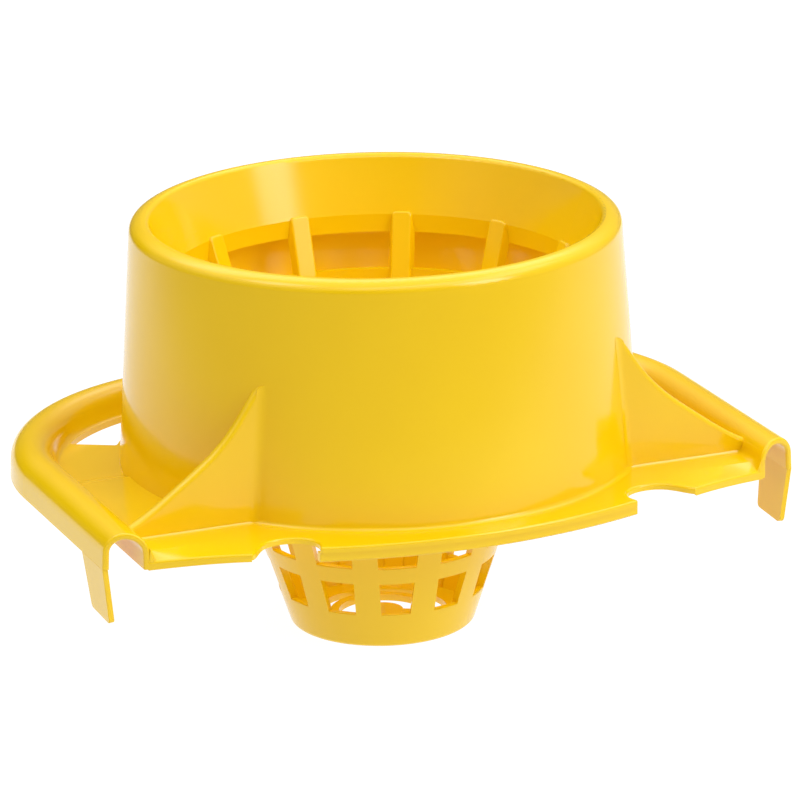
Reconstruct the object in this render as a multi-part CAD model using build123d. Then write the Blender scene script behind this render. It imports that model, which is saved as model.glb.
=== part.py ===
from build123d import *
import math
import os

# Mop bucket wringer insert: a funnel basket inside a flared drum, on a deck with a
# rim channel that hooks over the wall of the bucket. One moulding, split into its
# design regions. Z = 0 is the basket foot, +Z is up and the front faces -Y.

os.makedirs("parts", exist_ok=True)

# ---- driving dimensions (mm) ----
WALL = 3.1                      # moulded wall
RIM_TOP = 204.3                 # overall height
RIM_OUTER = 118.0               # outer radius of the rim
RIM_CROWN = 110.4               # radius of the highest line of the rim
RIM_DROP = 5.6                  # height of the rounding on the drum side
RIM_INNER_ROLL = 2.4            # rounding on the funnel side
RIM_CUT = 199.0                 # rim and funnel wall meet at this height
DRUM_FLARE = 3.9                # the drum widens downward, degrees
FUNNEL_ANGLE = 18.25            # half angle of the funnel, degrees

ROW_COUNT = 6                   # rows of windows from rim to foot
ROW_PITCH = 26.3
TOP_RING_Z = 150.2              # upper face of the ring under the first row
WINDOW_TOP = 175.8              # upper edge of the first row, inside
RING_LAND = 0.3                 # thickness left at the lower edge of each ring
WINDOW_ROUND = 0.6              # rounding along the edges of the windows

RIB_COUNT = 12
RIB_BASE = 12.6                 # rib width on the outer face
RIB_FACE = 9.2                  # rib width on the raised inner face
RIB_PROUD = 1.6                 # height of a rib above the funnel wall
RIB_TURN = 0.7                  # turn of the rib pattern, degrees

FOOT_ROUND = 3.0
FLOOR_LOW = 0.2
FLOOR_HIGH = 3.4
HUB_RADIUS = 10.0
MID_RING = (21.3, 25.7)         # radii of the ring between the two floor slots
PLATE_RING = (31.6, 37.0)       # radii of the plate outside the slots
SPOKE_WIDTH = 4.0

DECK_TOP = 87.0
DECK_THICK = 3.0
DECK_SPLIT_Y = -79.0            # front deck and side decks meet here
REAR_DECK_TOP = 84.0            # the deck drops to this level behind the ramp
RAMP_Y = (8.0, 20.1)
DRUM_FILLET = 2.0

CHANNEL_X = 164.6               # middle of the side channels
CHANNEL_HALF = 10.2             # half width over the arch
CHANNEL_SPRING = 87.4           # the arch starts here
FLANGE_BOTTOM = 80.0
FLANGE_SPREAD = 0.3             # the outer flange leans out by this much
CORNER_RADIUS = 108.0           # rear corners, on the middle of the channel
FOOT_FILLET = 3.5               # reach of the blend between channel and deck
FOOT_ANGLE = 15.0               # the blend leaves the arch this far above its spring, degrees
FOOT_STEPS = 8

FRONT_EDGE_X = 175.0            # the straight front edge starts here ...
FRONT_EDGE_Y = -95.0
FRONT_EDGE_SLOPE = 0.424        # ... and runs forward by this much per mm inward
LIP_RADIUS = 250.0              # curved middle of the front edge
LIP_FRONT_Y = -139.6
LIP_HALF = 83.3
LIP_BOTTOM = 79.5
LIP_THICK = 3.4
LIP_INSET = 0.8
LIP_LOW_HALF = 80.0             # half length of the second lip

# finger notch between lip and outer panel, (x, y) from the lip outward
NOTCH_EDGE = [
    (84.5, -130.5),
    (79.6, -124.5),
    (78.3, -118.5),
    (82.2, -110.9),
    (92.0, -107.2),
    (100.6, -109.3),
    (106.3, -115.4),
    (110.4, -120.9),
    (117.0, -124.5),
]

PANEL_START = 112.0             # outer front panels start here
PANEL_DROP = 3.6                # dip of their outer front corner
PANEL_CREASE_Y = -97.0          # the front slope starts here
PANEL_SKIRT = 3.8               # thickness of the panels at the front edge
PANEL_TUCK = 1.2                # they fill the rounded mouth of the channel by this much

# upper edge of the gusset, (x, z) from the drum outward
GUSSET_FRONT_Y = -81.6
GUSSET_THICK = 5.6
GUSSET_EDGE = [
    (87.0, 153.4),
    (91.4, 152.3),
    (94.4, 148.9),
    (101.9, 137.7),
    (113.2, 124.4),
    (129.9, 111.0),
    (148.5, 97.9),
    (164.0, 90.0),
]
GUSSET_ROUND = 2.2
GUSSET_ROOT = 3.2               # reach of the blend between gusset and drum
GUSSET_FOOT = 1.2               # blend between gusset and deck

TONGUE_TOP_Y = (-95.0, -65.5)
TONGUE_LOW_Y = (-93.0, -68.5)
TONGUE_BOTTOM = 52.0
TONGUE_THICK = 2.6
TONGUE_LEAN = 6.5               # degrees inward

HOLE_BEARING = 30.0             # the rear openings start at this bearing from +X
HOLE_LEDGE_DRUM = 3.6
HOLE_LEDGE_CHANNEL = 3.4

# ---- derived values ----
RIM_HALF = RIM_OUTER - RIM_CROWN
RIM_MID_Z = RIM_TOP - RIM_DROP
FUNNEL_TAN = math.tan(math.radians(FUNNEL_ANGLE))
DRUM_TAN = math.tan(math.radians(DRUM_FLARE))
FUNNEL_H_WALL = WALL / math.cos(math.radians(FUNNEL_ANGLE))
DRUM_H_WALL = WALL / math.cos(math.radians(DRUM_FLARE))
DECK_LOW = DECK_TOP - DECK_THICK
CORNER_Y = RAMP_Y[1]
CORNER_X = CHANNEL_X - CORNER_RADIUS
INNER_X = CHANNEL_X - CHANNEL_HALF


def rim_point(angle, half, drop):
    """Point (r, z) on an ellipse round the middle of the drum side of the rim."""
    a = math.radians(angle)
    return (RIM_CROWN + half * math.cos(a), RIM_MID_Z + drop * math.sin(a))


def roll_point(angle):
    """Point (r, z) on the small rounding between the crown of the rim and the funnel."""
    a = math.radians(angle)
    return (RIM_CROWN + RIM_INNER_ROLL * math.cos(a), RIM_TOP - RIM_INNER_ROLL * (1.0 - math.sin(a)))


DRUM_JOIN_ANGLE = math.degrees(math.atan(DRUM_TAN * RIM_DROP / RIM_HALF))
DRUM_JOIN = rim_point(DRUM_JOIN_ANGLE, RIM_HALF, RIM_DROP)
DRUM_JOIN_IN = rim_point(DRUM_JOIN_ANGLE, RIM_HALF - WALL, RIM_DROP - WALL)
FUNNEL_JOIN = roll_point(180.0 - FUNNEL_ANGLE)


def funnel_in(z):
    """Inner radius of the funnel at height z."""
    return FUNNEL_JOIN[0] - FUNNEL_TAN * (FUNNEL_JOIN[1] - z)


def funnel_out(z):
    """Outer radius of the funnel at height z."""
    return funnel_in(z) + FUNNEL_H_WALL


def drum_out(z):
    """Outer radius of the drum at height z."""
    return DRUM_JOIN[0] + DRUM_TAN * (DRUM_JOIN[1] - z)


def front_y(x):
    """Straight front edge of the deck at a distance x from the middle."""
    return FRONT_EDGE_Y - FRONT_EDGE_SLOPE * (FRONT_EDGE_X - x)


def lip_y(x):
    """Curved front edge of the deck at a distance x from the middle."""
    return LIP_FRONT_Y + LIP_RADIUS - math.sqrt(LIP_RADIUS ** 2 - x ** 2)


def turned(points):
    """Solid of revolution about Z from a closed (r, z) outline."""
    outline = Polyline([(r, 0.0, z) for r, z in points], close=True)
    return revolve(make_face(outline), axis=Axis.Z)


def plate(points, low, high):
    """Flat plate with an (x, y) outline between two heights."""
    outline = Polyline([(x, y, low) for x, y in points], close=True)
    return extrude(make_face(outline), amount=high - low, dir=(0, 0, 1))


def block(x0, x1, y0, y1, z0, z1):
    """Axis-aligned block between two corners."""
    return Pos((x0 + x1) / 2, (y0 + y1) / 2, (z0 + z1) / 2) * Box(x1 - x0, y1 - y0, z1 - z0)


def solids_of(shape):
    """All solids of a shape that are not stray slivers."""
    keep = [s for s in shape.solids() if s.volume > 1.0]
    return keep[0] if len(keep) == 1 else Compound(children=keep)


def mirrored(shape):
    """The same shape on the other side of the YZ plane."""
    return mirror(shape, about=Plane.YZ)


# ---- rim, drum and funnel wall ----
def in_section(point):
    """(r, z) as a point of the XZ plane."""
    return (point[0], 0.0, point[1])


def rim_arc(half, drop, start, end):
    """Smooth arc of the drum side of the rim, from the drum up to the crown."""
    middle = (DRUM_JOIN_ANGLE + 90.0) / 2
    angles = (middle * 0.55, middle, (middle + 90.0) / 2)
    between = [in_section(rim_point(angle, half, drop)) for angle in angles]
    return Spline([start] + between + [end], tangents=[(-DRUM_TAN, 0.0, 1.0), (-1.0, 0.0, 0.0)])


def build_rim():
    crown = (RIM_CROWN, 0.0, RIM_TOP)
    drum_end = in_section(DRUM_JOIN)
    funnel_end = in_section(FUNNEL_JOIN)
    roll_middle = in_section(roll_point((270.0 - FUNNEL_ANGLE) / 2))
    over = rim_arc(RIM_HALF, RIM_DROP, drum_end, crown)
    roll = ThreePointArc(crown, roll_middle, funnel_end)
    under_crown = (RIM_CROWN, 0.0, RIM_TOP - WALL)
    under_end = in_section(DRUM_JOIN_IN)
    under = rim_arc(RIM_HALF - WALL, RIM_DROP - WALL, under_end, under_crown)
    funnel_side = Polyline([
        funnel_end,
        (funnel_in(RIM_CUT), 0.0, RIM_CUT),
        (funnel_out(RIM_CUT), 0.0, RIM_CUT),
        (RIM_CROWN, 0.0, RIM_CUT + (RIM_CROWN - funnel_out(RIM_CUT)) / FUNNEL_TAN),
        under_crown,
    ])
    return revolve(make_face([over, roll, funnel_side, under, Line(under_end, drum_end)]), axis=Axis.Z)


def build_drum_wall():
    return turned([
        DRUM_JOIN,
        (drum_out(DECK_LOW), DECK_LOW),
        (drum_out(DECK_LOW) - DRUM_H_WALL, DECK_LOW),
        DRUM_JOIN_IN,
    ])


def build_funnel_wall():
    lip_r = funnel_in(WINDOW_TOP)
    lip_z = WINDOW_TOP - (FUNNEL_H_WALL - RING_LAND) / FUNNEL_TAN
    return turned([
        (funnel_in(RIM_CUT), RIM_CUT),
        (lip_r, WINDOW_TOP),
        (lip_r, lip_z),
        (lip_r + RING_LAND, lip_z),
        (funnel_out(RIM_CUT), RIM_CUT),
    ])


# ---- basket: ribs, rings, band and floor ----
def ring_top(index):
    """Upper face of the ring under row 1, 2, 3 ..."""
    return TOP_RING_Z - ROW_PITCH * (index - 1)


def build_band():
    top = ring_top(ROW_COUNT)
    body = turned([
        (funnel_in(top), top),
        (funnel_in(FLOOR_HIGH), FLOOR_HIGH),
        (PLATE_RING[1], FLOOR_HIGH),
        (PLATE_RING[1], FLOOR_LOW),
        (PLATE_RING[1] + 1.5, 0.0),
        (funnel_out(0.0), 0.0),
        (funnel_out(top), top),
    ])
    circles = body.edges().filter_by(GeomType.CIRCLE).group_by(Axis.Z)
    body = fillet(circles[-1], WINDOW_ROUND)
    low_edges = body.edges().filter_by(GeomType.CIRCLE).group_by(Axis.Z)[0]
    return fillet(low_edges.sort_by(SortBy.RADIUS)[-1], FOOT_ROUND)


def rib_bar():
    """One straight bar along the funnel wall at bearing 0, wider on its outer side."""
    low, high = 1.0, WINDOW_TOP + 1.4
    depth = WALL + RIB_PROUD
    past = 2.5
    flare = (RIB_BASE - RIB_FACE) / 2 * (depth + past) / depth
    half_in, half_out = RIB_FACE / 2, RIB_FACE / 2 + flare
    corners = [(0.0, -half_in), (depth + past, -half_out), (depth + past, half_out), (0.0, half_in)]
    section = make_face(Polyline(corners, close=True))
    lean = math.radians(FUNNEL_ANGLE)
    bar = extrude(section, amount=(high - low) / math.cos(lean), dir=(0, 0, 1))
    top_corners = bar.edges().filter_by(Axis.X, tolerance=30).group_by(Axis.Z)[-1]
    bar = fillet(top_corners, 2.2)
    face_edges = bar.faces().sort_by(Axis.X)[0].edges()
    bar = fillet([e for e in face_edges if e.center().Z > 1.0], 1.1)
    foot = (funnel_in(low) - RIB_PROUD * math.cos(lean), 0.0, low + RIB_PROUD * math.sin(lean))
    outward = (math.cos(lean), 0.0, -math.sin(lean))
    upward = (math.sin(lean), 0.0, math.cos(lean))
    return Plane(origin=foot, x_dir=outward, z_dir=upward).location * bar


def around(shape):
    """Copies of a shape at every rib bearing."""
    step = 360.0 / RIB_COUNT
    return [shape.rotate(Axis.Z, RIB_TURN + step * i) for i in range(RIB_COUNT)]


def build_ribs(wall, band):
    bound = turned([
        (0.0, FLOOR_HIGH),
        (funnel_out(FLOOR_HIGH), FLOOR_HIGH),
        (funnel_out(RIM_MID_Z), RIM_MID_Z),
        (0.0, RIM_MID_Z),
    ])
    return Compound(children=around(solids_of((rib_bar() & bound) - wall - band)))


def build_ring(index, bars):
    top = ring_top(index)
    low = top - (FUNNEL_H_WALL - RING_LAND) / FUNNEL_TAN
    r = funnel_in(top)
    ring = turned([(r, top), (r, low), (r + RING_LAND, low), (funnel_out(top), top)])
    outer_edge = ring.edges().group_by(Axis.Z)[-1].sort_by(SortBy.RADIUS)[-1]
    return solids_of(fillet(outer_edge, WINDOW_ROUND) - bars)


def floor_ring(inner, outer):
    """Flat ring of the floor with rounded upper edges."""
    height = FLOOR_HIGH - FLOOR_LOW
    ring = Pos(0, 0, FLOOR_LOW + height / 2) * Cylinder(outer, height)
    if inner > 0:
        ring = ring - Pos(0, 0, FLOOR_LOW + height / 2) * Cylinder(inner, height)
    return ring


def build_spokes():
    slots = floor_ring(HUB_RADIUS, MID_RING[0]) + floor_ring(MID_RING[1], PLATE_RING[0])
    spokes = []
    for bearing in (90.0, 210.0, 330.0):
        bar = block(0.0, PLATE_RING[0] + 1.0, -SPOKE_WIDTH / 2, SPOKE_WIDTH / 2, FLOOR_LOW, FLOOR_HIGH)
        spokes.extend((bar.rotate(Axis.Z, bearing) & slots).solids())
    return Compound(children=spokes)


# ---- channel ----
def arch_face(half, foot, spread):
    """Closed (u, z) outline of an arch with straight legs, u across the channel."""
    low = foot - 5.0
    left_leg = Line((-half, low), (-half, CHANNEL_SPRING))
    crown = ThreePointArc((-half, CHANNEL_SPRING), (0, CHANNEL_SPRING + half), (half, CHANNEL_SPRING))
    right_leg = Line((half, CHANNEL_SPRING), (half + spread, foot))
    base = Polyline([(half + spread, foot), (half + spread, low), (-half, low)])
    return make_face([left_leg, crown, right_leg, base])


def channel_section():
    """Inverted U of the channel in (u, z), outer flange on the +u side."""
    outer = arch_face(CHANNEL_HALF, FLANGE_BOTTOM, FLANGE_SPREAD)
    inner = arch_face(CHANNEL_HALF - WALL, FLANGE_BOTTOM, FLANGE_SPREAD)
    below = Pos(0, FLANGE_BOTTOM - 10.0) * Rectangle(60.0, 20.0)
    return outer - inner - below


def foot_section(level):
    """Concave blend between the arch and the deck, tangent to both, in (u, z)."""
    a = math.radians(FOOT_ANGLE)
    top = (-CHANNEL_HALF * math.cos(a), CHANNEL_SPRING + CHANNEL_HALF * math.sin(a))
    corner = (top[0] - (top[1] - level) * math.tan(a), level)
    end = (-CHANNEL_HALF - FOOT_FILLET, level)
    points = [(1.0 - CHANNEL_HALF, level)]
    for step in range(FOOT_STEPS + 1):
        t = step / FOOT_STEPS
        weights = ((1.0 - t) ** 2, 2.0 * t * (1.0 - t), t ** 2)
        u, z = (sum(w * p[i] for w, p in zip(weights, (top, corner, end))) for i in (0, 1))
        points.append((u, z))
    return make_face(Polyline(points, close=True))


def across_x(face, y):
    """Stand a (u, z) face up at the right-hand side channel, at a given y."""
    frame = Plane(origin=(CHANNEL_X, y, 0.0), x_dir=(1, 0, 0), z_dir=(0, -1, 0))
    return frame.location * face


def filled_channel(low):
    """Straight right-hand channel without its hollow, to trim other regions."""
    face = arch_face(CHANNEL_HALF, low, 0.0)
    return extrude(across_x(face, CORNER_Y), amount=130.0, dir=(0, -1, 0))


def front_cutter():
    """Everything in front of the straight front edge, right-hand side."""
    corners = [(100.0, front_y(100.0)), (190.0, front_y(190.0)), (190.0, -170.0), (100.0, -170.0)]
    return plate(corners, 40.0, 110.0)


def build_channel_side():
    straight = extrude(across_x(channel_section(), CORNER_Y), amount=130.0, dir=(0, -1, 0))
    level_foot = foot_section(DECK_TOP)
    ramp_start = across_x(level_foot, RAMP_Y[0])
    ramp_end = across_x(foot_section(REAR_DECK_TOP), RAMP_Y[1])
    slope_start = across_x(level_foot, PANEL_CREASE_Y)
    slope_end = across_x(foot_section(DECK_TOP - PANEL_DROP), front_y(INNER_X))
    foot = extrude(ramp_start, amount=RAMP_Y[0] - PANEL_CREASE_Y, dir=(0, -1, 0))
    foot = foot + loft([ramp_start.face(), ramp_end.face()], ruled=True)
    foot = foot + loft([slope_start.face(), slope_end.face()], ruled=True)
    straight = straight - front_cutter()
    mouth = [f for f in straight.faces() if f.center().Y < -94.0 and f.normal_at().Y < -0.5]
    straight = fillet([e for f in mouth for e in f.edges() if e.center().Z > FLANGE_BOTTOM + 1.0], 1.1)
    return solids_of(straight + (foot - front_cutter()))


def build_channel_corner(drum_core):
    axis = Axis((CORNER_X, CORNER_Y, 0.0), (0, 0, 1))
    body = revolve(across_x(channel_section(), CORNER_Y), axis=axis, revolution_arc=90.0)
    foot_face = across_x(foot_section(REAR_DECK_TOP), CORNER_Y)
    foot = revolve(foot_face, axis=axis, revolution_arc=90.0)
    return solids_of((body + foot) - drum_core)


def build_channel_back(drum_core):
    frame = Plane(origin=(CORNER_X, CORNER_Y + CORNER_RADIUS, 0.0), x_dir=(0, 1, 0), z_dir=(1, 0, 0))
    section = frame.location * channel_section()
    body = extrude(section, amount=2 * CORNER_X, dir=(-1, 0, 0))
    return solids_of(body - drum_core)


# ---- deck ----
def drum_blend():
    """Concave fillet between the drum and the front deck."""
    r = drum_out(DECK_TOP)
    a = (r + DRUM_FILLET, 0.0, DECK_TOP)
    b = (drum_out(DECK_TOP + DRUM_FILLET), 0.0, DECK_TOP + DRUM_FILLET)
    mid = (r + 0.32 * DRUM_FILLET, 0.0, DECK_TOP + 0.27 * DRUM_FILLET)
    section = [ThreePointArc(a, mid, b), Line(b, (r, 0.0, DECK_TOP)), Line((r, 0.0, DECK_TOP), a)]
    ring = revolve(make_face(section), axis=Axis.Z)
    return ring & block(-200, 200, -200, DECK_SPLIT_Y, 0, 200)


def build_deck_front(drum_core, blend):
    corner_y = lip_y(LIP_HALF)
    front = ThreePointArc((-LIP_HALF, corner_y), (0, LIP_FRONT_Y), (LIP_HALF, corner_y))
    back = Polyline([
        (LIP_HALF, corner_y),
        (LIP_HALF, DECK_SPLIT_Y),
        (-LIP_HALF, DECK_SPLIT_Y),
        (-LIP_HALF, corner_y),
    ])
    outline = make_face([front, back])
    for side in (-1, 1):
        outline = outline + make_face(Polyline([
            (side * LIP_HALF, DECK_SPLIT_Y),
            (side * LIP_HALF, corner_y),
            (side * PANEL_START, front_y(PANEL_START)),
            (side * PANEL_START, DECK_SPLIT_Y),
        ], close=True))
    for side in (-1, 1):
        bite = [(side * x, y) for x, y in NOTCH_EDGE]
        mouth = Polyline([bite[-1], (bite[-1][0], -160.0), (bite[0][0], -160.0), bite[0]])
        outline = outline - make_face([Spline(bite), mouth])
    tips = [v for v in outline.vertices() if v.Y < -124.0 and 75.0 < abs(v.X) < LIP_HALF]
    outline = fillet(tips, 1.6)
    deck = extrude(Pos(0, 0, DECK_LOW) * outline, amount=DECK_THICK, dir=(0, 0, 1))
    rim_edges = [e for e in deck.edges().group_by(Axis.Z)[-1] if e.center().Y < -104.0]
    deck = fillet(rim_edges, 1.1)
    return solids_of((deck - drum_core) + blend)


def build_deck_lip():
    centre_y = LIP_FRONT_Y + LIP_RADIUS
    height = DECK_LOW - LIP_BOTTOM
    outer = Pos(0, centre_y, LIP_BOTTOM + height / 2) * Cylinder(LIP_RADIUS - LIP_INSET, height)
    inner = Pos(0, centre_y, LIP_BOTTOM + height / 2) * Cylinder(LIP_RADIUS - LIP_INSET - LIP_THICK, height)
    window = block(-LIP_LOW_HALF, LIP_LOW_HALF, -150.0, -110.0, 70.0, 100.0)
    lip = (outer - inner) & window
    front = lip.faces().sort_by(Axis.Y)[0]
    return solids_of(fillet([e for e in front.edges() if e.center().Z < DECK_LOW - 0.1], 0.8))


def panel_section(x, drop):
    """Cross-section of the outer front panel at a distance x from the middle."""
    y = front_y(x)
    points = [
        (DECK_SPLIT_Y, DECK_TOP),
        (PANEL_CREASE_Y, DECK_TOP),
        (y, DECK_TOP - drop),
        (y, DECK_TOP - drop - PANEL_SKIRT),
        (y + 3.0, DECK_TOP - drop - PANEL_SKIRT),
        (PANEL_CREASE_Y + 1.0, DECK_LOW),
        (DECK_SPLIT_Y, DECK_LOW),
    ]
    return make_face(Polyline([(x, py, pz) for py, pz in points], close=True))


def build_deck_panel():
    sections = []
    for part in (0.0, 0.35, 0.7, 1.0):
        x = PANEL_START + part * (INNER_X + PANEL_TUCK - PANEL_START)
        sections.append(panel_section(x, PANEL_DROP * part ** 1.5))
    panel = loft(sections)
    front = panel.edges().filter_by(lambda e: e.center().Y < -111.0 and e.length > 30.0)
    return solids_of(fillet(front.sort_by(Axis.Z)[-1], 1.1))


def side_region(inset):
    """Plan region inside the channel on the right-hand side, behind the front deck."""
    x = INNER_X - inset
    r = CORNER_RADIUS - CHANNEL_HALF - inset
    start = (0.0, DECK_SPLIT_Y)
    a, b = (x, DECK_SPLIT_Y), (x, CORNER_Y)
    c = (CORNER_X, CORNER_Y + r)
    d = (0.0, CORNER_Y + r)
    turn = math.radians(45.0)
    mid = (CORNER_X + r * math.cos(turn), CORNER_Y + r * math.sin(turn))
    return make_face([Line(start, a), Line(a, b), ThreePointArc(b, mid, c), Line(c, d), Line(d, start)])


def build_deck_side(drum_core):
    profile = [
        (DECK_SPLIT_Y, DECK_TOP),
        (RAMP_Y[0], DECK_TOP),
        (RAMP_Y[1], REAR_DECK_TOP),
        (140.0, REAR_DECK_TOP),
        (140.0, REAR_DECK_TOP - DECK_THICK),
        (RAMP_Y[1], REAR_DECK_TOP - DECK_THICK),
        (RAMP_Y[0], DECK_LOW),
        (DECK_SPLIT_Y, DECK_LOW),
    ]
    side_face = make_face(Polyline([(0.0, y, z) for y, z in profile], close=True))
    strip = extrude(side_face, amount=170.0, dir=(1, 0, 0))
    region = extrude(Pos(0, 0, 70.0) * side_region(0.0), amount=30.0, dir=(0, 0, 1))
    a = math.radians(HOLE_BEARING)
    wedge = make_face(Polyline([(0, 0), (250 * math.cos(a), 250 * math.sin(a)), (0, 250)], close=True))
    opening = (side_region(HOLE_LEDGE_CHANNEL) & wedge) - Circle(drum_out(REAR_DECK_TOP) + HOLE_LEDGE_DRUM)
    opening = max(opening.faces(), key=lambda f: f.area)
    opening = fillet(opening.vertices(), 1.5)
    opening = extrude(Pos(0, 0, 60.0) * opening, amount=40.0, dir=(0, 0, 1))
    return solids_of((strip & region) - drum_core - opening)


# ---- gussets and tongues ----
def gusset_profile(front, thick):
    """Gusset outline extruded backward from a given front plane."""
    top_edge = Spline([(x, front, z) for x, z in GUSSET_EDGE])
    first, last = GUSSET_EDGE[0], GUSSET_EDGE[-1]
    base = Polyline([
        (last[0], front, last[1]),
        (last[0], front, DECK_TOP),
        (first[0], front, DECK_TOP),
        (first[0], front, first[1]),
    ])
    return extrude(make_face([top_edge, base]), amount=thick, dir=(0, 1, 0))


def root_section(z):
    """Plan outline at height z of the soft corner between gusset front and drum."""
    r = drum_out(z)
    x = math.sqrt(r ** 2 - GUSSET_FRONT_Y ** 2)
    along = (GUSSET_FRONT_Y / r, -x / r)
    points = []
    for step in range(FOOT_STEPS + 1):
        t = step / FOOT_STEPS
        gusset_side, drum_side = GUSSET_ROOT * (1.0 - t) ** 2, GUSSET_ROOT * t ** 2
        points.append((x + gusset_side + drum_side * along[0], GUSSET_FRONT_Y + drum_side * along[1], z))
    points.append((x - 3.0, GUSSET_FRONT_Y, z))
    points.append((x - 2.0, GUSSET_FRONT_Y + 2.0, z))
    points.append((x + 3.0, GUSSET_FRONT_Y + 1.0, z))
    return make_face(Polyline(points, close=True))


def gusset_foot():
    """Small concave blend between the front of the gusset and the deck."""
    outline = [
        (GUSSET_FRONT_Y + 1.0, DECK_TOP),
        (GUSSET_FRONT_Y + 1.0, DECK_TOP + GUSSET_FOOT),
        (GUSSET_FRONT_Y, DECK_TOP + GUSSET_FOOT),
        (GUSSET_FRONT_Y - 0.35 * GUSSET_FOOT, DECK_TOP + 0.35 * GUSSET_FOOT),
        (GUSSET_FRONT_Y - GUSSET_FOOT, DECK_TOP),
    ]
    start = GUSSET_EDGE[0][0]
    section = make_face(Polyline([(start, y, z) for y, z in outline], close=True))
    return extrude(section, amount=INNER_X - start, dir=(1, 0, 0))


def build_gusset(drum_core, trims):
    web = gusset_profile(GUSSET_FRONT_Y, GUSSET_THICK)
    web = fillet([e for e in web.edges() if e.geom_type != GeomType.LINE], GUSSET_ROUND)
    root = loft([root_section(DECK_TOP), root_section(RIM_TOP - 50.0)], ruled=True)
    root = root & gusset_profile(GUSSET_FRONT_Y - 10.0, 14.0)
    web = (web + root + gusset_foot()) - drum_core - filled_channel(DECK_LOW)
    for trim in trims:
        web = web - trim
    return solids_of(web)


def build_tongue():
    outer_x = CHANNEL_X + CHANNEL_HALF + FLANGE_SPREAD
    outline = Polyline([
        (TONGUE_TOP_Y[0], FLANGE_BOTTOM + 2.0),
        (TONGUE_LOW_Y[0], TONGUE_BOTTOM),
        (TONGUE_LOW_Y[1], TONGUE_BOTTOM + 1.0),
        (TONGUE_TOP_Y[1], FLANGE_BOTTOM + 2.0),
    ], close=True)
    face = make_face(outline)
    face = fillet([v for v in face.vertices() if v.Y < TONGUE_BOTTOM + 5.0], 2.6)
    frame = Plane(origin=(outer_x + 0.3, 0.0, 0.0), x_dir=(0, 1, 0), z_dir=(1, 0, 0))
    slab = extrude(frame.location * face, amount=-TONGUE_THICK)
    rim_edges = [e for e in slab.faces().sort_by(Axis.X)[-1].edges() if e.center().Z < FLANGE_BOTTOM]
    slab = fillet(rim_edges, 0.5)
    hinge = Axis((outer_x + 0.3, 0.0, FLANGE_BOTTOM + 2.0), (0, 1, 0))
    slab = slab.rotate(hinge, TONGUE_LEAN)
    return solids_of(slab - block(150, 200, -120, -40, FLANGE_BOTTOM, 120))


# ---- assemble and write ----
def main():
    drum_core = turned([
        (0.0, 40.0),
        (drum_out(40.0), 40.0),
        (drum_out(RIM_MID_Z), RIM_MID_Z),
        (0.0, RIM_MID_Z),
    ])
    nodes = {}
    nodes["rim"] = build_rim()
    nodes["drum_wall"] = build_drum_wall()
    nodes["funnel_wall"] = build_funnel_wall()
    nodes["basket_band"] = build_band()
    nodes["squeeze_ribs"] = build_ribs(nodes["funnel_wall"], nodes["basket_band"])
    bars = around(rib_bar())
    for index in range(1, ROW_COUNT):
        nodes[f"window_ring_{index}"] = build_ring(index, bars)
    nodes["floor_plate"] = floor_ring(PLATE_RING[0], PLATE_RING[1])
    nodes["floor_ring"] = floor_ring(MID_RING[0], MID_RING[1])
    nodes["floor_hub"] = floor_ring(0.0, HUB_RADIUS)
    nodes["floor_spokes"] = build_spokes()
    blend = drum_blend()
    nodes["deck_front"] = build_deck_front(drum_core, blend)
    nodes["deck_lip"] = build_deck_lip()
    nodes["channel_back"] = build_channel_back(drum_core)
    channel_side = build_channel_side()
    pairs = {
        "deck_panel": solids_of(build_deck_panel() - channel_side),
        "deck_side": build_deck_side(drum_core),
        "gusset": build_gusset(drum_core, [channel_side, blend]),
        "channel": channel_side,
        "channel_corner": build_channel_corner(drum_core),
        "tongue": build_tongue(),
    }
    for name, shape in pairs.items():
        nodes[f"{name}_right"] = shape
        nodes[f"{name}_left"] = mirrored(shape)
    for name, shape in nodes.items():
        export_step(shape, f"parts/{name}.step")


main()
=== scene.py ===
import bpy
import math
from mathutils import Matrix, Vector

# Mop bucket wringer insert in glossy yellow polypropylene, in the row frame: metres, +Z up,
# the front edge faces -Y and the origin is the centre of the basket foot.

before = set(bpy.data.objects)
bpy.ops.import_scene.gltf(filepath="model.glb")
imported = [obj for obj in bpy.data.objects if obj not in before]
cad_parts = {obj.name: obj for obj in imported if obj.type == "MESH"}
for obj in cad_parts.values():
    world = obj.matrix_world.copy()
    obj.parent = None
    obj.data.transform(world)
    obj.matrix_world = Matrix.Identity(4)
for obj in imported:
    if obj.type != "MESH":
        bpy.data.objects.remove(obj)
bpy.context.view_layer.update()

# ---- look of the moulding ----
YELLOW_DEEP = (0.87, 0.550, 0.001, 1.0)     # linear colours of the pigment, thick and thin
YELLOW_BRIGHT = (0.90, 0.585, 0.002, 1.0)
GLOSS = (0.10, 0.17)                        # roughness range over the surface
WAVE_HEIGHT = 0.00022                       # slow waviness of the moulded walls, metres
GRAIN_HEIGHT = 0.000006                     # fine texture left by the polished tool
TURNING_HEIGHT = 0.000010                   # fine circular tool marks inside the funnel

REFRACTION = 1.49                           # index of refraction of polypropylene
TINT_SCALE, SHEEN_SCALE = 14.0, 33.0        # noise scales, cells per metre
WAVE_SCALE, GRAIN_SCALE = 11.0, 1400.0
TURNING_SCALE = 260.0

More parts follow.
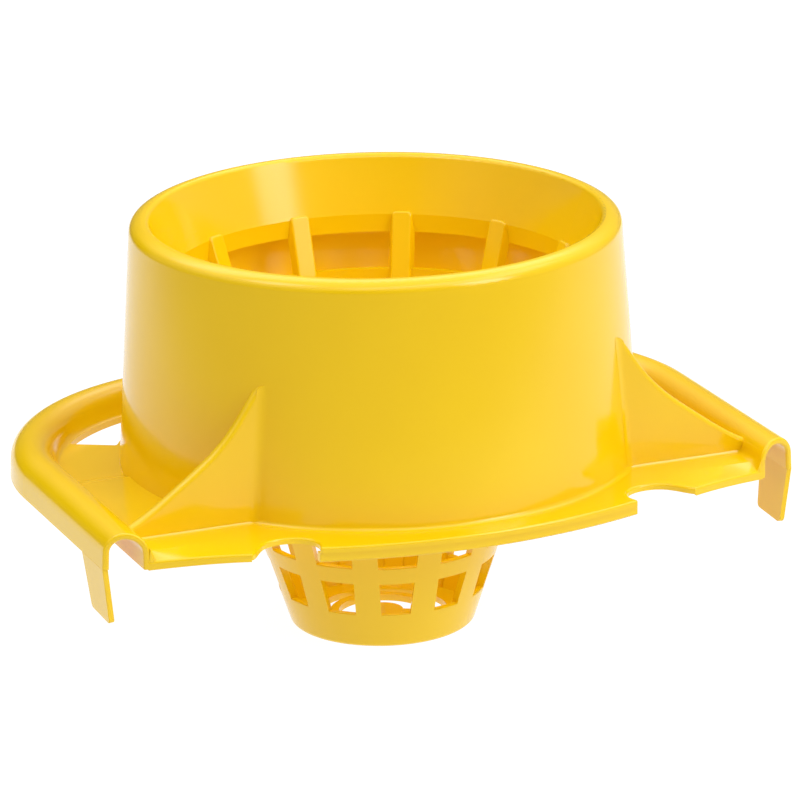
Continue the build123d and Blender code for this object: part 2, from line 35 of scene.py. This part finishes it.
# ---- studio ----
# Soft boxes and dark cards on the dome, in degrees: azimuth (0 in front of the object, 90 to
# its right), elevation, half width, half height, soft edge; then the light that each adds.
BOXES = (
    (34.0, 30.0, 10.0, 15.0, 5.0, 6.8),         # key
    (85.0, 55.0, 14.0, 10.0, 6.0, 1.6),         # right, high
    (-92.0, 58.0, 9.0, 10.0, 5.0, 3.6),         # left, high
    (-100.0, 42.0, 30.0, 20.0, 12.0, 0.5),      # left, wide and weak
    (172.0, 52.0, 30.0, 12.0, 6.0, 1.6),        # behind, high
    (12.0, 62.0, 30.0, 10.0, 5.0, 1.7),         # overhead, in front
    (158.0, 8.0, 50.0, 18.0, 8.0, -0.35),       # dark low backdrop
    (-13.0, 14.0, 32.0, 26.0, 4.0, -0.20),      # dark camera side
)
SIDE_AZIMUTH = 80.0                         # the horizon is brightest at this bearing
SIDE_LIGHT = (0.37, 0.74)                   # dimmest and brightest horizon
TOP_LIGHT = 0.85                            # added overhead
WORLD_MAP = 1024                            # resolution of the sampling map of the dome
HOLLOW_LAMPS = 12                           # small lamps that stand in for light through the wall
HOLLOW_POWER = 0.008                        # watts each
HOLLOW_COLOUR = (1.0, 0.80, 0.45)
HOLLOW_PLACE = (0.100, 0.118)               # distance from the axis and height, metres
HOLLOW_RADIUS = 0.015
FLOOR_HALF = 6.0
FLOOR_COLOUR = (0.10, 0.10, 0.10, 1.0)
GLOW = (0.98, 0.36)                         # light of the floor under the object and far from it
GLOW_CENTRE = (0.35, 0.45, 0.0)
GLOW_FADE = (0.85, 1.35)                    # metres from the middle of the glow
GLOW_BACK = (1.5, 2.3)                      # behind the object the floor darkens over this distance
CAMERA_AZIMUTH = -21.84                     # degrees
CAMERA_ELEVATION = 17.69
CAMERA_ROLL = -1.019
CAMERA_DISTANCE = 2.69125                   # metres
CAMERA_AIM = (0.00840, 0.10536)             # metres right of and above the aim line
LENS = 247.83                               # millimetres on a 36 mm sensor
SENSOR = 36.0


def direction(azimuth, elevation):
    """Unit vector towards a bearing: azimuth 0 is -Y and 90 is +X."""
    a, e = math.radians(azimuth), math.radians(elevation)
    return Vector((math.sin(a) * math.cos(e), -math.cos(a) * math.cos(e), math.sin(e)))


class Graph:
    """Short helpers for building one node tree."""

    def __init__(self, tree):
        self.tree = tree
        tree.nodes.clear()

    def add(self, kind, **settings):
        node = self.tree.nodes.new(kind)
        for name, value in settings.items():
            if name in node.inputs:
                node.inputs[name].default_value = value
            else:
                setattr(node, name, value)
        return node

    def link(self, output, socket):
        self.tree.links.new(output, socket)

    def math(self, operation, first, second=None):
        node = self.tree.nodes.new("ShaderNodeMath")
        node.operation = operation
        for socket, value in zip(node.inputs, (first, second)):
            if value is None:
                continue
            if isinstance(value, (int, float)):
                socket.default_value = value
            else:
                self.link(value, socket)
        return node.outputs[0]

    def dot(self, vector, axis):
        node = self.tree.nodes.new("ShaderNodeVectorMath")
        node.operation = "DOT_PRODUCT"
        self.link(vector, node.inputs[0])
        node.inputs[1].default_value = axis
        return node.outputs["Value"]

    def smooth(self, value, low, high, out_low=0.0, out_high=1.0):
        node = self.tree.nodes.new("ShaderNodeMapRange")
        node.interpolation_type = "SMOOTHSTEP"
        self.link(value, node.inputs["Value"])
        node.inputs["From Min"].default_value = low
        node.inputs["From Max"].default_value = high
        node.inputs["To Min"].default_value = out_low
        node.inputs["To Max"].default_value = out_high
        return node.outputs["Result"]


def plastic(name, turned):
    """Glossy yellow moulding. turned adds the circular tool marks of the funnel."""
    material = bpy.data.materials.new(name)
    material.use_nodes = True
    g = Graph(material.node_tree)
    place = g.add("ShaderNodeTexCoord").outputs["Object"]

    tint = g.add("ShaderNodeTexNoise", Scale=TINT_SCALE, Detail=2.0, Roughness=0.5)
    g.link(place, tint.inputs["Vector"])
    ramp = g.add("ShaderNodeValToRGB")
    ramp.color_ramp.elements[0].position = 0.30
    ramp.color_ramp.elements[0].color = YELLOW_DEEP
    ramp.color_ramp.elements[1].position = 0.72
    ramp.color_ramp.elements[1].color = YELLOW_BRIGHT
    g.link(tint.outputs["Fac"], ramp.inputs["Fac"])

    sheen = g.add("ShaderNodeTexNoise", Scale=SHEEN_SCALE, Detail=3.0, Roughness=0.6)
    g.link(place, sheen.inputs["Vector"])
    rough = g.smooth(sheen.outputs["Fac"], 0.30, 0.70, *GLOSS)

    wave = g.add("ShaderNodeTexNoise", Scale=WAVE_SCALE, Detail=1.0, Roughness=0.4)
    g.link(place, wave.inputs["Vector"])
    grain = g.add("ShaderNodeTexNoise", Scale=GRAIN_SCALE, Detail=2.0, Roughness=0.6)
    g.link(place, grain.inputs["Vector"])
    bump = g.add("ShaderNodeBump", Strength=1.0, Distance=WAVE_HEIGHT)
    g.link(wave.outputs["Fac"], bump.inputs["Height"])
    fine = g.add("ShaderNodeBump", Strength=1.0, Distance=GRAIN_HEIGHT)
    g.link(grain.outputs["Fac"], fine.inputs["Height"])
    g.link(bump.outputs["Normal"], fine.inputs["Normal"])
    normal = fine.outputs["Normal"]
    if turned:
        marks = g.add("ShaderNodeTexWave", Scale=TURNING_SCALE, Distortion=1.2, Detail=2.0)
        marks.bands_direction = "Z"
        g.link(place, marks.inputs["Vector"])
        ring = g.add("ShaderNodeBump", Strength=1.0, Distance=TURNING_HEIGHT)
        g.link(marks.outputs["Fac"], ring.inputs["Height"])
        g.link(normal, ring.inputs["Normal"])
        normal = ring.outputs["Normal"]

    shader = g.add("ShaderNodeBsdfPrincipled")
    shader.inputs["IOR"].default_value = REFRACTION
    g.link(ramp.outputs["Color"], shader.inputs["Base Color"])
    g.link(rough, shader.inputs["Roughness"])
    g.link(normal, shader.inputs["Normal"])
    output = g.add("ShaderNodeOutputMaterial")
    g.link(shader.outputs["BSDF"], output.inputs["Surface"])
    return material


def dress(node, material):
    """Give a CAD node one material."""
    node.data.materials.clear()
    node.data.materials.append(material)


def build_floor():
    """Pale floor that glows softly under the object and darkens far away and behind."""
    mesh = bpy.data.meshes.new("studio_floor")
    half = FLOOR_HALF
    corners = [(-half, -half, 0), (half, -half, 0), (half, half, 0), (-half, half, 0)]
    mesh.from_pydata(corners, [], [(0, 1, 2, 3)])
    floor = bpy.data.objects.new("studio_floor", mesh)
    bpy.context.scene.collection.objects.link(floor)
    material = bpy.data.materials.new("studio_floor")
    material.use_nodes = True
    g = Graph(material.node_tree)
    shader = g.add("ShaderNodeBsdfPrincipled")
    shader.inputs["Base Color"].default_value = FLOOR_COLOUR
    shader.inputs["Roughness"].default_value = 0.9
    shader.inputs["Specular IOR Level"].default_value = 0.0
    shader.inputs["Emission Color"].default_value = (1.0, 1.0, 1.0, 1.0)
    spread = g.add("ShaderNodeVectorMath")
    spread.operation = "DISTANCE"
    place = g.add("ShaderNodeTexCoord").outputs["Object"]
    g.link(place, spread.inputs[0])
    spread.inputs[1].default_value = GLOW_CENTRE
    near = g.smooth(spread.outputs["Value"], *GLOW_FADE, *GLOW)
    front = g.smooth(g.dot(place, Vector((0, 1, 0))), *GLOW_BACK, 1.0, 0.0)
    g.link(g.math("MULTIPLY", near, front), shader.inputs["Emission Strength"])
    output = g.add("ShaderNodeOutputMaterial")
    g.link(shader.outputs["BSDF"], output.inputs["Surface"])
    mesh.materials.append(material)


def build_world():
    """Pale dome, brighter to the right and overhead, with soft boxes and dark cards."""
    world = bpy.data.worlds.new("studio")
    bpy.context.scene.world = world
    world.use_nodes = True
    g = Graph(world.node_tree)
    toward = g.add("ShaderNodeTexCoord").outputs["Generated"]
    side = g.smooth(g.dot(toward, direction(SIDE_AZIMUTH, 0.0)), -0.7, 0.9, *SIDE_LIGHT)
    top = g.smooth(g.dot(toward, Vector((0, 0, 1))), 0.35, 0.85, 0.0, TOP_LIGHT)
    total = g.math("ADD", side, top)
    for azimuth, elevation, half_wide, half_high, edge, strength in BOXES:
        axis = direction(azimuth, elevation)
        wide = direction(azimuth + 90.0, 0.0)
        high = wide.cross(axis) * -1.0
        ahead = g.math("MAXIMUM", g.dot(toward, axis), 0.01)
        masks = []
        for span, half in ((wide, half_wide), (high, half_high)):
            offset = g.math("ABSOLUTE", g.math("DIVIDE", g.dot(toward, span), ahead))
            near = math.tan(math.radians(half - edge))
            far = math.tan(math.radians(half + edge))
            masks.append(g.smooth(offset, near, far, 1.0, 0.0))
        glow = g.math("MULTIPLY", g.math("MULTIPLY", masks[0], masks[1]), strength)
        total = g.math("ADD", total, glow)
    background = g.add("ShaderNodeBackground")
    g.link(total, background.inputs["Strength"])
    output = g.add("ShaderNodeOutputWorld")
    g.link(background.outputs["Background"], output.inputs["Surface"])
    world.cycles.sampling_method = "MANUAL"
    world.cycles.sample_map_resolution = WORLD_MAP


def build_hollow_lamps():
    """Warm lamps between drum and funnel, for the daylight that glows through thin plastic."""
    out, height = HOLLOW_PLACE
    for index in range(HOLLOW_LAMPS):
        data = bpy.data.lights.new(f"hollow_lamp_{index}", "POINT")
        data.energy = HOLLOW_POWER
        data.color = HOLLOW_COLOUR
        data.shadow_soft_size = HOLLOW_RADIUS
        lamp = bpy.data.objects.new(data.name, data)
        lamp.visible_glossy = False
        bearing = 360.0 * (index + 0.5) / HOLLOW_LAMPS
        lamp.location = direction(bearing, 0.0) * out + Vector((0.0, 0.0, height))
        bpy.context.scene.collection.objects.link(lamp)


def build_camera():
    """Camera at the fitted bearing, with its aim shifted sideways and up instead of a lens shift."""
    data = bpy.data.cameras.new("camera")
    camera = bpy.data.objects.new("camera", data)
    bpy.context.scene.collection.objects.link(camera)
    bpy.context.scene.camera = camera
    data.sensor_width = SENSOR
    data.lens = LENS
    data.clip_start, data.clip_end = 0.05, 60.0
    back = direction(CAMERA_AZIMUTH, CAMERA_ELEVATION)
    a, roll = math.radians(CAMERA_AZIMUTH), math.radians(CAMERA_ROLL)
    level = Vector((math.cos(a), math.sin(a), 0.0))
    upright = back.cross(level)
    right = math.cos(roll) * level + math.sin(roll) * upright
    up = -math.sin(roll) * level + math.cos(roll) * upright
    place = right * CAMERA_AIM[0] + up * CAMERA_AIM[1] + back * CAMERA_DISTANCE
    turn = Matrix((right, up, back)).transposed().to_4x4()
    camera.matrix_world = Matrix.Translation(place) @ turn


plain = plastic("yellow_plastic_smooth", False)
lathe_marked = plastic("yellow_plastic_turned", True)
for node_name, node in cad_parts.items():
    dress(node, lathe_marked if node_name == "funnel_wall" else plain)

build_floor()
build_world()
build_hollow_lamps()
build_camera()
bpy.context.scene.view_settings.view_transform = "Standard"
